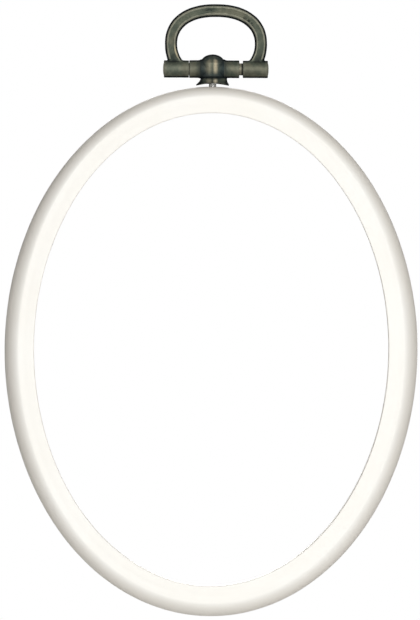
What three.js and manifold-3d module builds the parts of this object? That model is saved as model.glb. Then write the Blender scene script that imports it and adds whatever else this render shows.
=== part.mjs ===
// Oval frame hoop for embroidery, in millimetres, +Z up, with its front towards -Y.
// A soft outer hoop with a front lip snaps over a rigid inner hoop and clamps the fabric between them.
// A cast hanger is screwed to the top of the outer hoop, and a hinged hanging loop swings on its pin.
// The origin is the place inside the crown of the loop where a wall hook carries the frame.

import * as THREE from "three";
import { mergeVertices } from "three/addons/utils/BufferGeometryUtils.js";
import Module from "manifold-3d";

// The oval opening inside the lip, and the outer hoop around it, whose soft face is narrowest under the hanger
const OPENING_WIDTH = 90;
const OPENING_HEIGHT = 120;
const FACE_WIDTH_SIDE = 7.5;
const FACE_WIDTH_TOP = 6.7;
const FACE_WIDTH_BOTTOM = 7.9;
const HOOP_DEPTH = 9.5;
const LIP_THICKNESS = 1.8;
const LIP_EDGE_RADIUS = 0.5;
const CREASE_DEPTH = 0.12;
const SHOULDER_WIDTH = 3.6;
const SHOULDER_DEPTH = 4.3;
const SHOULDER_FULLNESS = 1.55;
const BACK_EDGE_RADIUS = 0.8;

// The inner hoop: a plain band with a flange round its back and a low grip bead near its front
const BAND_SETBACK = 0.25;
const BAND_THICKNESS = 2.15;
const BAND_CHAMFER = 0.35;
const FLANGE_WIDTH = 1.6;
const FLANGE_THICKNESS = 1.35;
const BEAD_HEIGHT = 0.15;
const BEAD_WIDTH = 1.1;
const BEAD_SETBACK = 1.4;
const FABRIC_GAP = 0.3;

// The hanger casting, measured from the axes of its hinge and its column
const BARREL_LENGTH = 12.7;
const BARREL_RADIUS = 2.25;
const BARREL_BEVEL = 0.22;
const BARREL_SHIFT = 0.42;
const ROOT_FLARE = 0.25;
const ROOT_FLARE_LENGTH = 1;
const COLUMN_RADIUS = 3.05;
const COLUMN_SQUARENESS = 3.2;
const COLUMN_EDGE = 0.35;
const DOME_HEIGHT = 3.75;
const DOME_RISE = 2.25;
const WAIST_DROP = 2.15;
const NECK_RADIUS = 2.95;
const NECK_DROP = 2.4;
const SKIRT_RADIUS = 4.15;
const SKIRT_DROP = 4.2;
const SKIRT_SHIFT = 0.35;
const SKIRT_HOLLOW = 0.15;
const SKIRT_EDGE = 0.25;
const SKIRT_WALL = 0.7;
const SKIRT_RECESS = 0.85;
const SKIRT_ARCH = 0.6;
const SKIRT_GAP = 0.3;

// The hanging loop: an oval bar whose two arms run down into a knuckle each
const KNUCKLE_LENGTH = 6.35;
const KNUCKLE_RADIUS = 2.2;
const KNUCKLE_BEVEL = 0.25;
const KNUCKLE_OVERHANG = 0.23;
const LOOP_CLEAR_HEIGHT = 13.25;
const LOOP_WIDEST_HEIGHT = 6.3;
const LOOP_SQUARENESS = 2.28;
const CROWN_WIDTH = 3.25;
const ARM_WIDTH = 3.1;
const BAR_DEPTH = 2.4;
const BAR_BEVEL_WIDTH = 0.6;
const BAR_BEVEL_DEPTH = 0.8;
const ARM_ROOT_HEIGHT = 0.9;
const ARM_INNER_INSET = 0.5;
const ARM_OUTER_INSET = 1.52;

// The hinge pin, its running clearance, and the side play that the loop has on it
const PIN_DIAMETER = 3.1;
const PIN_CLEARANCE = 0.06;
const PIN_HEAD = 0.22;
const SIDE_PLAY = 1;
const END_SEAM = 0.1;

// The screw from inside the outer hoop up into the hanger, and its washer
const SCREW_DIAMETER = 2;
const THREAD_CLEARANCE = 0.06;
const SCREW_HOLE_CLEARANCE = 0.15;
const SCREW_END_WEB = 0.4;
const HEAD_DIAMETER = 4.2;
const HEAD_HEIGHT = 1.3;
const HEAD_CROWN = 0.45;
const HEAD_RECESS = 0.2;
const SLOT_WIDTH = 0.6;
const SLOT_DEPTH = 0.55;
const WASHER_DIAMETER = 6;
const WASHER_THICKNESS = 0.4;
const SEAT_CLEARANCE = 0.05;
const COUNTERBORE_CLEARANCE = 0.2;

// How finely round forms are divided
const HOOP_STEPS = 80;
const SHOULDER_STEPS = 7;
const LOOP_STEPS = 44;
const ROUND_SIDES = 32;
const DOME_STEPS = 8;
const ARCH_SIDES = 96;
const SMALL_STEPS = 3;
const BEVEL_STEPS = 2;

// Sizes that follow from the ones above
const HALF_DEPTH = HOOP_DEPTH / 2;
const BAND_OUTSIDE = BAND_SETBACK + BAND_THICKNESS;
const WALL_INSIDE = BAND_OUTSIDE + FABRIC_GAP;
const FLANGE_OUTSIDE = BAND_OUTSIDE + FLANGE_WIDTH;
const FLANGE_FRONT = HALF_DEPTH - FLANGE_THICKNESS;
const HINGE_Z = -LOOP_CLEAR_HEIGHT;
const HOOP_TOP_Z = HINGE_Z - SKIRT_DROP - SKIRT_GAP;
const HOOP_CENTRE_Z = HOOP_TOP_Z - FACE_WIDTH_TOP - OPENING_HEIGHT / 2;
const WALL_TOP_Z = HOOP_TOP_Z - FACE_WIDTH_TOP + WALL_INSIDE;
const HEAD_SEAT_Z = WALL_TOP_Z + HEAD_RECESS + HEAD_HEIGHT;
const WASHER_Z = HEAD_SEAT_Z + SEAT_CLEARANCE;
const COUNTERBORE_TOP_Z = WASHER_Z + WASHER_THICKNESS + SEAT_CLEARANCE;
const PIN_RADIUS = PIN_DIAMETER / 2;
const SCREW_RADIUS = SCREW_DIAMETER / 2;
const SCREW_TOP_Z = HINGE_Z - PIN_RADIUS - PIN_CLEARANCE - SCREW_END_WEB;
const KNUCKLE_INSIDE = (BARREL_LENGTH + SIDE_PLAY) / 2;
const KNUCKLE_OUTSIDE = KNUCKLE_INSIDE + KNUCKLE_LENGTH;
const LOOP_CENTRE_X = BARREL_SHIFT + SIDE_PLAY / 2 - END_SEAM;

const wasm = await Module();
wasm.setup();

// A closed three.js geometry as a solid that can be joined and cut
function toSolid(geometry) {
  const bare = geometry.clone();
  bare.deleteAttribute("normal");
  bare.deleteAttribute("uv");
  const welded = mergeVertices(bare, 1e-5);
  return new wasm.Manifold(
    new wasm.Mesh({
      numProp: 3,
      vertProperties: new Float32Array(welded.attributes.position.array),
      triVerts: new Uint32Array(welded.index.array),
    }),
  );
}

// A solid back as a three.js geometry
function toGeometry(solid) {
  const mesh = solid.getMesh();
  const geometry = new THREE.BufferGeometry();
  geometry.setAttribute("position", new THREE.BufferAttribute(new Float32Array(mesh.vertProperties), 3));
  geometry.setIndex(new THREE.BufferAttribute(new Uint32Array(mesh.triVerts), 1));
  geometry.computeVertexNormals();
  return geometry;
}

// Points on an arc, both ends included, in degrees from the first axis. A fullness of 2 gives a true ellipse, and
// one towards 1 a flatter slope between its ends
function arc(centre, radii, fromDegrees, toDegrees, steps, fullness = 2) {
  const reach = (value) => Math.sign(value) * Math.abs(value) ** (2 / fullness);
  const points = [];
  for (let i = 0; i <= steps; i += 1) {
    const angle = THREE.MathUtils.degToRad(fromDegrees + ((toDegrees - fromDegrees) * i) / steps);
    points.push([centre[0] + radii[0] * reach(Math.cos(angle)), centre[1] + radii[1] * reach(Math.sin(angle))]);
  }
  return points;
}

// A profile of [radius, height] points turned about Z
function turnedAboutZ(profile) {
  const points = profile.map(([radius, height]) => new THREE.Vector2(radius, height));
  return new THREE.LatheGeometry(points, ROUND_SIDES).rotateX(Math.PI / 2);
}

// The same about X, where height runs along +X
function turnedAboutX(profile) {
  return turnedAboutZ(profile).rotateY(Math.PI / 2);
}

// A round bar between two heights with bevelled rims, as a profile on the axis
function barProfile(radius, from, to, bevel) {
  return [
    [0, from],
    [radius - bevel, from],
    [radius, from + bevel],
    [radius, to - bevel],
    [radius - bevel, to],
    [0, to],
  ];
}

// A bore whose flats, and not its corners, keep the wanted radius
function boreRadius(radius) {
  return radius / Math.cos(Math.PI / ROUND_SIDES);
}

// Stations joined ring by ring into one closed body; a loop closes on itself, and a bar gets end caps
function skin(rings, closed) {
  const sides = rings[0].length;
  const positions = rings.flat(2);
  const index = [];
  const last = closed ? rings.length : rings.length - 1;
  for (let ring = 0; ring < last; ring += 1) {
    const next = (ring + 1) % rings.length;
    for (let side = 0; side < sides; side += 1) {
      const turn = (side + 1) % sides;
      const a = ring * sides + side;
      const b = ring * sides + turn;
      const c = next * sides + side;
      const d = next * sides + turn;
      index.push(a, b, d, a, d, c);
    }
  }
  if (!closed) {
    const end = (rings.length - 1) * sides;
    for (let side = 1; side < sides - 1; side += 1) {
      index.push(0, side + 1, side);
      index.push(end, end + side, end + side + 1);
    }
  }
  const geometry = new THREE.BufferGeometry();
  geometry.setAttribute("position", new THREE.Float32BufferAttribute(positions, 3));
  geometry.setIndex(index);
  return geometry;
}

// How wide the soft face is, from the sides over to the top or the bottom
function faceWidth(angle) {
  const end = Math.sin(angle) > 0 ? FACE_WIDTH_TOP : FACE_WIDTH_BOTTOM;
  return THREE.MathUtils.lerp(FACE_WIDTH_SIDE, end, Math.sin(angle) ** 2);
}

// The section of [offset, y] points at each angle, carried round the oval opening at its offset from the edge
function hoopGeometry(sectionAt) {
  const rings = [];
  for (let step = 0; step < HOOP_STEPS; step += 1) {
    const angle = (2 * Math.PI * step) / HOOP_STEPS;
    const edge = new THREE.Vector2((OPENING_WIDTH / 2) * Math.cos(angle), (OPENING_HEIGHT / 2) * Math.sin(angle));
    const outward = new THREE.Vector2(OPENING_HEIGHT * Math.cos(angle), OPENING_WIDTH * Math.sin(angle));
    outward.normalize();
    rings.push(
      sectionAt(angle).map(([offset, y]) => [edge.x + offset * outward.x, y, edge.y + offset * outward.y]),
    );
  }
  return skin(rings, true);
}

// Front lip, softly creased face, sloping shoulder, outer wall, and the rebate for the flange
function outerHoopSection(angle) {
  const width = faceWidth(angle);
  const lipBack = LIP_THICKNESS - HALF_DEPTH;
  const rebateSide = FLANGE_OUTSIDE + FABRIC_GAP;
  const rebateFloor = FLANGE_FRONT - FABRIC_GAP;
  const lipEdge = [LIP_EDGE_RADIUS, LIP_EDGE_RADIUS - HALF_DEPTH];
  const shoulder = [width - SHOULDER_WIDTH, SHOULDER_DEPTH - HALF_DEPTH];
  const shoulderReach = [SHOULDER_WIDTH, SHOULDER_DEPTH];
  const backEdge = [width - BACK_EDGE_RADIUS, HALF_DEPTH - BACK_EDGE_RADIUS];
  return [
    ...arc(lipEdge, [LIP_EDGE_RADIUS, LIP_EDGE_RADIUS], 180, 270, BEVEL_STEPS),
    [WALL_INSIDE, CREASE_DEPTH - HALF_DEPTH],
    ...arc(shoulder, shoulderReach, 270, 360, SHOULDER_STEPS, SHOULDER_FULLNESS),
    ...arc(backEdge, [BACK_EDGE_RADIUS, BACK_EDGE_RADIUS], 0, 90, BEVEL_STEPS),
    [rebateSide, HALF_DEPTH],
    [rebateSide, rebateFloor],
    [WALL_INSIDE, rebateFloor],
    [WALL_INSIDE, lipBack],
    [0, lipBack],
  ];
}

// Band with a chamfered leading edge, a grip bead, and the flange that the outer hoop seats against
function innerHoopSection() {
  const front = LIP_THICKNESS + FABRIC_GAP - HALF_DEPTH;
  const bead = front + BEAD_SETBACK;
  return [
    [BAND_SETBACK, HALF_DEPTH],
    [BAND_SETBACK, front + BAND_CHAMFER],
    [BAND_SETBACK + BAND_CHAMFER, front],
    [BAND_OUTSIDE - BAND_CHAMFER, front],
    [BAND_OUTSIDE, front + BAND_CHAMFER],
    [BAND_OUTSIDE, bead - BEAD_WIDTH / 2],
    [BAND_OUTSIDE + BEAD_HEIGHT, bead],
    [BAND_OUTSIDE, bead + BEAD_WIDTH / 2],
    [BAND_OUTSIDE, FLANGE_FRONT],
    [FLANGE_OUTSIDE, FLANGE_FRONT],
    [FLANGE_OUTSIDE, HALF_DEPTH],
  ];
}

// The outer hoop with the screw hole through its top and the counterbore for washer and head
function outerHoopGeometry() {
  const through = boreRadius(SCREW_RADIUS + SCREW_HOLE_CLEARANCE);
  const counterbore = boreRadius(WASHER_DIAMETER / 2 + COUNTERBORE_CLEARANCE);
  const wallDrop = WALL_TOP_Z - HOOP_CENTRE_Z - FABRIC_GAP;
  const seat = COUNTERBORE_TOP_Z - HOOP_CENTRE_Z;
  const above = HOOP_TOP_Z - HOOP_CENTRE_Z + SKIRT_GAP;
  const hole = toSolid(turnedAboutZ(barProfile(through, wallDrop, above, 0)));
  const pocket = toSolid(turnedAboutZ(barProfile(counterbore, wallDrop, seat, 0)));
  return toGeometry(toSolid(hoopGeometry(outerHoopSection)).subtract(hole).subtract(pocket));
}

// Open skirt, hollow flare, neck, waist, column and dome, turned about the screw's axis
function bellProfile() {
  const skirtTop = SKIRT_EDGE - SKIRT_DROP;
  const recess = SKIRT_RECESS - SKIRT_DROP;
  const skirt = [
    [0, recess],
    [SKIRT_RADIUS - SKIRT_WALL - SKIRT_RECESS, recess],
    [SKIRT_RADIUS - SKIRT_WALL, -SKIRT_DROP],
    [SKIRT_RADIUS, -SKIRT_DROP],
    [SKIRT_RADIUS, skirtTop],
    [(SKIRT_RADIUS + NECK_RADIUS) / 2 - SKIRT_HOLLOW, (skirtTop - NECK_DROP) / 2],
    [NECK_RADIUS, -NECK_DROP],
  ];
  const foot = [COLUMN_RADIUS - COLUMN_EDGE, COLUMN_EDGE - WAIST_DROP];
  const dome = [0, DOME_HEIGHT - DOME_RISE];
  return [
    ...skirt,
    ...arc(foot, [COLUMN_EDGE, COLUMN_EDGE], 270, 360, SMALL_STEPS),
    ...arc(dome, [COLUMN_RADIUS, DOME_RISE], 0, 90, DOME_STEPS).slice(0, -1),
    [0, DOME_HEIGHT],
  ];
}

// How far a squarish outline reaches in a direction, where a round one reaches 1
function squareReach(x, y) {
  const radius = Math.hypot(x, y);
  if (radius === 0) {
    return 1;
  }
  const shares = [x, y].map((value) => Math.abs(value / radius) ** COLUMN_SQUARENESS);
  return (shares[0] + shares[1]) ** (-1 / COLUMN_SQUARENESS);
}

// The turned bell, squared off beside the barrel, with its skirt drawn a little to the left
function bellGeometry() {
  const { smoothstep, clamp, lerp } = THREE.MathUtils;
  const bell = turnedAboutZ(bellProfile());
  const places = bell.attributes.position;
  for (let i = 0; i < places.count; i += 1) {
    const [x, y, z] = [places.getX(i), places.getY(i), places.getZ(i)];
    const belowDome = 1 - smoothstep(z, DOME_HEIGHT - DOME_RISE, DOME_HEIGHT);
    const aboveSkirt = smoothstep(z, -SKIRT_DROP, -WAIST_DROP);
    const reach = lerp(1, squareReach(x, y), belowDome * aboveSkirt);
    const shift = SKIRT_SHIFT * clamp((-NECK_DROP - z) / (SKIRT_DROP - NECK_DROP), 0, 1);
    places.setXYZ(i, x * reach - shift, y * reach, z);
  }
  return bell;
}

// The arch under the skirt, which spans the top of the hoop from front to back
function archGeometry() {
  const radius = (SKIRT_RADIUS ** 2 + SKIRT_ARCH ** 2) / (2 * SKIRT_ARCH);
  const cylinder = new THREE.CylinderGeometry(radius, radius, 4 * SKIRT_RADIUS, ARCH_SIDES);
  return cylinder.translate(-SKIRT_SHIFT, 0, SKIRT_ARCH - SKIRT_DROP - radius);
}

// The hinge barrel, thickened where it runs into the column
function barrelProfile() {
  const left = BARREL_SHIFT - BARREL_LENGTH / 2;
  const right = BARREL_SHIFT + BARREL_LENGTH / 2;
  const flareCentre = [BARREL_RADIUS + ROOT_FLARE, COLUMN_RADIUS + ROOT_FLARE_LENGTH];
  const flare = arc(flareCentre, [ROOT_FLARE, ROOT_FLARE_LENGTH], 270, 180, SMALL_STEPS);
  return [
    [0, left],
    [BARREL_RADIUS - BARREL_BEVEL, left],
    [BARREL_RADIUS, left + BARREL_BEVEL],
    ...flare.map(([radius, x]) => [radius, -x]).reverse(),
    ...flare,
    [BARREL_RADIUS, right - BARREL_BEVEL],
    [BARREL_RADIUS - BARREL_BEVEL, right],
    [0, right],
  ];
}

// The casting: bell and barrel in one, bored for the pin and tapped for the screw
function hangerGeometry() {
  const pinBore = boreRadius(PIN_RADIUS + PIN_CLEARANCE);
  const tapped = boreRadius(SCREW_RADIUS + THREAD_CLEARANCE);
  const screwTop = SCREW_TOP_Z - HINGE_Z + THREAD_CLEARANCE;
  const bore = toSolid(turnedAboutX(barProfile(pinBore, -BARREL_LENGTH, BARREL_LENGTH, 0)));
  const hole = toSolid(turnedAboutZ(barProfile(tapped, -SKIRT_DROP - SKIRT_GAP, screwTop, 0)));
  const bell = toSolid(bellGeometry()).subtract(toSolid(archGeometry()));
  const casting = bell.add(toSolid(turnedAboutX(barrelProfile())));
  return toGeometry(casting.subtract(bore).subtract(hole));
}

// A point of the loop's outline: a squarish oval above the widest level and a plain one below it
function outlinePoint(angle, halfWidth, rise, drop) {
  const above = Math.sin(angle) >= 0;
  const power = above ? 2 / LOOP_SQUARENESS : 1;
  const along = Math.sign(Math.cos(angle)) * Math.abs(Math.cos(angle)) ** power;
  const up = Math.sign(Math.sin(angle)) * Math.abs(Math.sin(angle)) ** power;
  return new THREE.Vector2(halfWidth * along, LOOP_WIDEST_HEIGHT + up * (above ? rise : drop));
}

// How far below the widest level an arm's outline would close, when it runs through a given place at its root
function armDrop(halfWidth, rootX) {
  return (LOOP_WIDEST_HEIGHT - ARM_ROOT_HEIGHT) / Math.sqrt(1 - (rootX / halfWidth) ** 2);
}

// The section of the bar: two flat faces between rounded bevels
function barSection(halfWidth) {
  const bevelCentre = [halfWidth - BAR_BEVEL_WIDTH, BAR_DEPTH / 2 - BAR_BEVEL_DEPTH];
  const corner = arc(bevelCentre, [BAR_BEVEL_WIDTH, BAR_BEVEL_DEPTH], 90, 0, BEVEL_STEPS);
  const side = [...corner, ...corner.map(([across, deep]) => [across, -deep]).reverse()];
  return [...side, ...side.map(([across, deep]) => [-across, -deep])];
}

// The oval bar, from the root of one arm over the crown to the root of the other
function loopBarGeometry() {
  const halfOutside = KNUCKLE_OUTSIDE - KNUCKLE_OVERHANG;
  const halfInside = halfOutside - ARM_WIDTH;
  const riseInside = LOOP_CLEAR_HEIGHT - LOOP_WIDEST_HEIGHT;
  const riseOutside = riseInside + CROWN_WIDTH;
  const dropInside = armDrop(halfInside, KNUCKLE_INSIDE + ARM_INNER_INSET);
  const dropOutside = armDrop(halfOutside, KNUCKLE_OUTSIDE - ARM_OUTER_INSET);
  const fall = LOOP_WIDEST_HEIGHT - ARM_ROOT_HEIGHT;
  const rootInside = Math.asin(fall / dropInside);
  const rootOutside = Math.asin(fall / dropOutside);
  const rings = [];
  for (let step = 0; step <= LOOP_STEPS; step += 1) {
    const share = step / LOOP_STEPS;
    const angleIn = Math.PI + rootInside - share * (Math.PI + 2 * rootInside);
    const angleOut = Math.PI + rootOutside - share * (Math.PI + 2 * rootOutside);
    const inside = outlinePoint(angleIn, halfInside, riseInside, dropInside);
    const outside = outlinePoint(angleOut, halfOutside, riseOutside, dropOutside);
    const middle = inside.clone().add(outside).multiplyScalar(0.5);
    const halfWidth = outside.distanceTo(middle);
    const across = outside.clone().sub(middle).normalize();
    rings.push(
      barSection(halfWidth).map(([out, deep]) => [middle.x + out * across.x, deep, middle.y + out * across.y]),
    );
  }
  return skin(rings, false);
}

// The loop: bar and both knuckles in one, bored for the pin
function loopGeometry() {
  const pinBore = boreRadius(PIN_RADIUS + PIN_CLEARANCE);
  const bore = toSolid(turnedAboutX(barProfile(pinBore, -2 * KNUCKLE_OUTSIDE, 2 * KNUCKLE_OUTSIDE, 0)));
  let loop = toSolid(loopBarGeometry());
  for (const side of [-1, 1]) {
    const ends = [side * KNUCKLE_INSIDE, side * KNUCKLE_OUTSIDE].sort((a, b) => a - b);
    const knuckle = turnedAboutX(barProfile(KNUCKLE_RADIUS, ends[0], ends[1], KNUCKLE_BEVEL));
    loop = loop.add(toSolid(knuckle));
  }
  return toGeometry(loop.subtract(bore));
}

// The hinge pin, with both ends peened to low domes just outside the knuckles
function pinGeometry() {
  const head = [PIN_RADIUS, PIN_HEAD];
  const right = arc([0, KNUCKLE_OUTSIDE], head, 0, 90, SMALL_STEPS).slice(0, -1);
  const left = right.map(([radius, x]) => [radius, -x]).reverse();
  const end = KNUCKLE_OUTSIDE + PIN_HEAD;
  return turnedAboutX([[0, -end], ...left, ...right, [0, end]]);
}

// The screw: shank, and a slotted head with a low crown facing the inner hoop
function screwGeometry() {
  const headRadius = HEAD_DIAMETER / 2;
  const rim = HEAD_CROWN - HEAD_HEIGHT;
  const crown = arc([0, rim], [headRadius, HEAD_CROWN], 270, 360, SMALL_STEPS).slice(1);
  const profile = [
    [0, -HEAD_HEIGHT],
    ...crown,
    [headRadius, 0],
    [SCREW_RADIUS, 0],
    [SCREW_RADIUS, SCREW_TOP_Z - HEAD_SEAT_Z],
    [0, SCREW_TOP_Z - HEAD_SEAT_Z],
  ];
  const slot = new THREE.BoxGeometry(2 * HEAD_DIAMETER, SLOT_WIDTH, 2 * SLOT_DEPTH);
  slot.translate(0, 0, -HEAD_HEIGHT);
  return toGeometry(toSolid(turnedAboutZ(profile)).subtract(toSolid(slot)));
}

// A flat ring that spreads the pull of the screw head over the soft hoop
function washerGeometry() {
  const inside = boreRadius(SCREW_RADIUS + SCREW_HOLE_CLEARANCE);
  const disc = toSolid(turnedAboutZ(barProfile(WASHER_DIAMETER / 2, 0, WASHER_THICKNESS, 0)));
  const hole = toSolid(turnedAboutZ(barProfile(inside, -WASHER_THICKNESS, 2 * WASHER_THICKNESS, 0)));
  return toGeometry(disc.subtract(hole));
}

// Surface finishes
const creamVinyl = new THREE.MeshStandardMaterial({ color: 0xfaf5ec, roughness: 0.42, metalness: 0 });
const ivoryPlastic = new THREE.MeshStandardMaterial({ color: 0xf2ead9, roughness: 0.36, metalness: 0 });
const agedBronze = new THREE.MeshStandardMaterial({ color: 0x5f5c48, roughness: 0.46, metalness: 0.85 });
const wornBronze = new THREE.MeshStandardMaterial({ color: 0x7d745c, roughness: 0.42, metalness: 0.85 });
const plainSteel = new THREE.MeshStandardMaterial({ color: 0x9a9a97, roughness: 0.34, metalness: 1 });

function piece(name, geometry, material, position) {
  const mesh = new THREE.Mesh(geometry, material);
  mesh.name = name;
  mesh.position.set(...position);
  return mesh;
}

const frame = new THREE.Group();
frame.add(
  piece("outer_hoop", outerHoopGeometry(), creamVinyl, [0, 0, HOOP_CENTRE_Z]),
  piece("inner_hoop", hoopGeometry(innerHoopSection), ivoryPlastic, [0, 0, HOOP_CENTRE_Z]),
  piece("hanger_body", hangerGeometry(), agedBronze, [0, 0, HINGE_Z]),
  piece("hanging_loop", loopGeometry(), agedBronze, [LOOP_CENTRE_X, 0, HINGE_Z]),
  piece("hinge_pin", pinGeometry(), wornBronze, [LOOP_CENTRE_X, 0, HINGE_Z]),
  piece("hanger_screw", screwGeometry(), plainSteel, [0, 0, HEAD_SEAT_Z]),
  piece("screw_washer", washerGeometry(), plainSteel, [0, 0, WASHER_Z]),
);

export default frame;
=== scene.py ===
import math

import bmesh
import bpy
import numpy as np
from mathutils import Euler, Matrix, Vector, noise

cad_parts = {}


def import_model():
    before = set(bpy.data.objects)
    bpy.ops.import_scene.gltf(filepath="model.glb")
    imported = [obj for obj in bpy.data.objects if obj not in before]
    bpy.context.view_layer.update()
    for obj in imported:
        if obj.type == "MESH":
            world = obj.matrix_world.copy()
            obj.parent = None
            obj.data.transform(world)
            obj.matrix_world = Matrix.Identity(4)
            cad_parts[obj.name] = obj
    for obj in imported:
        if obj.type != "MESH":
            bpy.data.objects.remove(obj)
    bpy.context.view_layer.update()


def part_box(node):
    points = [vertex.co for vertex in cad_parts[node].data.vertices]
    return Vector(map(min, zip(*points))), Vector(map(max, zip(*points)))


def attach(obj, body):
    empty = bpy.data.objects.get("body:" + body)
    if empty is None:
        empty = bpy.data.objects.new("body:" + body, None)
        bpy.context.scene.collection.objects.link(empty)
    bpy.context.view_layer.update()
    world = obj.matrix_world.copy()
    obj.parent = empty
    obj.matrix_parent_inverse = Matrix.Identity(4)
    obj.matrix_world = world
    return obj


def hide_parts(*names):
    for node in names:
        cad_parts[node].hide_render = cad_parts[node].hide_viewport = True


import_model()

MM = 0.001


def node_box(node):
    """Lowest and highest corner of a solid, in millimetres."""
    low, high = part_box(node)
    return low / MM, high / MM


# Places and outer sizes that the frame gives
HOOP_LOW, HOOP_HIGH = node_box("outer_hoop")
HANGER_LOW, HANGER_HIGH = node_box("hanger_body")
LOOP_LOW, LOOP_HIGH = node_box("hanging_loop")
PIN_LOW, PIN_HIGH = node_box("hinge_pin")
SCREW_LOW, SCREW_HIGH = node_box("hanger_screw")
WASHER_LOW, WASHER_HIGH = node_box("screw_washer")
HOOP_CENTRE = (HOOP_LOW + HOOP_HIGH) / 2
HALF_DEPTH = (HOOP_HIGH.y - HOOP_LOW.y) / 2
HINGE_Z = (PIN_LOW.z + PIN_HIGH.z) / 2
LOOP_CENTRE_X = (PIN_LOW.x + PIN_HIGH.x) / 2

# The section of the outer hoop, from the edge of its opening outwards
FACE_WIDTH_SIDE = 7.5
FACE_WIDTH_TOP = 6.7
FACE_WIDTH_BOTTOM = 7.9
LIP_THICKNESS = 1.8
LIP_EDGE_RADIUS = 0.28
CREASE_DEPTH = 0.12
CREASE_WIDTH = 0.8
SHOULDER_WIDTH = 3.6
SHOULDER_DEPTH = 5.4
SHOULDER_FULLNESS = 1.48
TOP_SHOULDER_SHARE = 0.69
BACK_EDGE_RADIUS = 0.8
HALF_OPENING_WIDE = (HOOP_HIGH.x - HOOP_LOW.x) / 2 - FACE_WIDTH_SIDE
HALF_OPENING_HIGH = (HOOP_HIGH.z - HOOP_LOW.z - FACE_WIDTH_TOP - FACE_WIDTH_BOTTOM) / 2
OPENING_Z = HOOP_HIGH.z - FACE_WIDTH_TOP - HALF_OPENING_HIGH

# The section of the inner hoop
BAND_SETBACK = 0.25
BAND_OUTSIDE = 2.4
BAND_EDGE_RADIUS = 0.35
FLANGE_OUTSIDE = 4.0
FLANGE_FRONT = HALF_DEPTH - 1.35
BEAD_HEIGHT = 0.15
BEAD_WIDTH = 1.1
BEAD_SETBACK = 1.4
FABRIC_GAP = 0.3
WALL_INSIDE = BAND_OUTSIDE + FABRIC_GAP
SMALL_RADIUS = 0.12

# The hanger casting, measured from the axes of its hinge and its column
BARREL_RADIUS = 2.25
ROOT_FLARE = 0.25
ROOT_FLARE_LENGTH = 1.0
COLUMN_RADIUS = 3.05
COLUMN_SQUARENESS = 2.7
COLUMN_EDGE = 0.35
DOME_HEIGHT = HANGER_HIGH.z - HINGE_Z
DOME_RISE = 2.25
WAIST_DROP = 2.15
NECK_RADIUS = 2.95
NECK_DROP = 2.4
SKIRT_RADIUS = 4.15
SKIRT_DROP = 4.2
SKIRT_SHIFT = 0.05
NECK_FULLNESS = 0.7
SKIRT_HOLLOW = 0.15
SKIRT_EDGE = 0.25
SKIRT_WALL = 0.7
SKIRT_RECESS = 0.85
SKIRT_ARCH = 0.6
ARCH_OVERRUN = 1.5
BOSS_BULGE = 0.1
BOSS_ROUNDING = 0.32
BOSS_ROUNDING_HEIGHT = 2.6
SEAM_PLACE = -0.2
SEAM_DEPTH = 0.035
SEAM_WIDTH = 0.15
SEAM_LIP_HEIGHT = 0.05
SEAM_LIP_PLACE = 0.7
SEAM_LIP_WIDTH = 0.35
SEAM_FADE = 1.6

# The hanging loop, measured from the hinge axis
KNUCKLE_RADIUS = (LOOP_HIGH.y - LOOP_LOW.y) / 2
KNUCKLE_OUTSIDE = (LOOP_HIGH.x - LOOP_LOW.x) / 2
KNUCKLE_LENGTH = 6.35
KNUCKLE_INSIDE = KNUCKLE_OUTSIDE - KNUCKLE_LENGTH
KNUCKLE_OVERHANG = 0.23
CLEAR_HEIGHT = -HINGE_Z
WIDEST_HEIGHT = 6.3
SQUARENESS = 2.28
CROWN_WIDTH = 3.25
ARM_WIDTH = 3.1
BAR_DEPTH = 2.4
BAR_BEVEL_WIDTH = 0.95
BAR_BEVEL_DEPTH = 0.9
BAR_HOLLOW = 0.07
BAR_HOLLOW_POWER = 4
ARM_ROOT_HEIGHT = 0.9
ARM_INNER_INSET = 0.5
ARM_OUTER_INSET = 1.52
BORE_OVERRUN = 1.2

# Pin, screw and washer
PIN_RADIUS = (PIN_HIGH.z - PIN_LOW.z) / 2
PIN_HEAD = 0.22
PIN_CLEARANCE = 0.06
SCREW_RADIUS = 1.0
SCREW_CLEARANCE = 0.15
THREAD_PITCH = 0.4
THREAD_DEPTH = 0.12
THREAD_START = 0.05
HEAD_RADIUS = (SCREW_HIGH.x - SCREW_LOW.x) / 2
HEAD_HEIGHT = 1.3
HEAD_CROWN = 0.45
SLOT_WIDTH = 0.6
SLOT_DEPTH = 0.55
WASHER_CLEARANCE = 0.2
SEAT_CLEARANCE = 0.05
SMALL_BEVEL = 0.08
HEAD_START = 271
HOLE_OVERRUN = 1

# How finely the pieces are divided
HOOP_STEPS = 360
FACE_STEPS = 14
SHOULDER_STEPS = 24
EDGE_STEPS = 6
SMALL_EDGE_STEPS = 4
BEVEL_STEPS = 3
CORNER_STEPS = 2
BEAD_STEPS = 8
ROUND_SIDES = 72
SIDE_ANGLES = [2 * math.pi * side / ROUND_SIDES for side in range(ROUND_SIDES)]
DOME_STEPS = 18
ROUNDING_STEPS = 8
ARCH_STEPS = 24
LOOP_STEPS = 160
BAR_FACE_SHARES = 0, 0.3, 0.55, 0.75, 0.9
PIN_STEPS = 59
CROWN_STEPS = 10
THREAD_STEPS = 10
BORE_STEP = 0.3
CAST_VOXEL = 0.085

# How the castings are smoothed, and from what angle on an edge is sharp
SOFTEN_FACTOR = 0.5
SOFTEN_PASSES = 3
FILL_SHARE = 0.5
HANGER_FILLET_PASSES = 8
LOOP_FILLET_PASSES = 45
RELIEF_PASSES = 120
RELIEF_UNIT = 0.01
SHARP_DEGREES = 35
CAST_SHARP_DEGREES = 50

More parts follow.
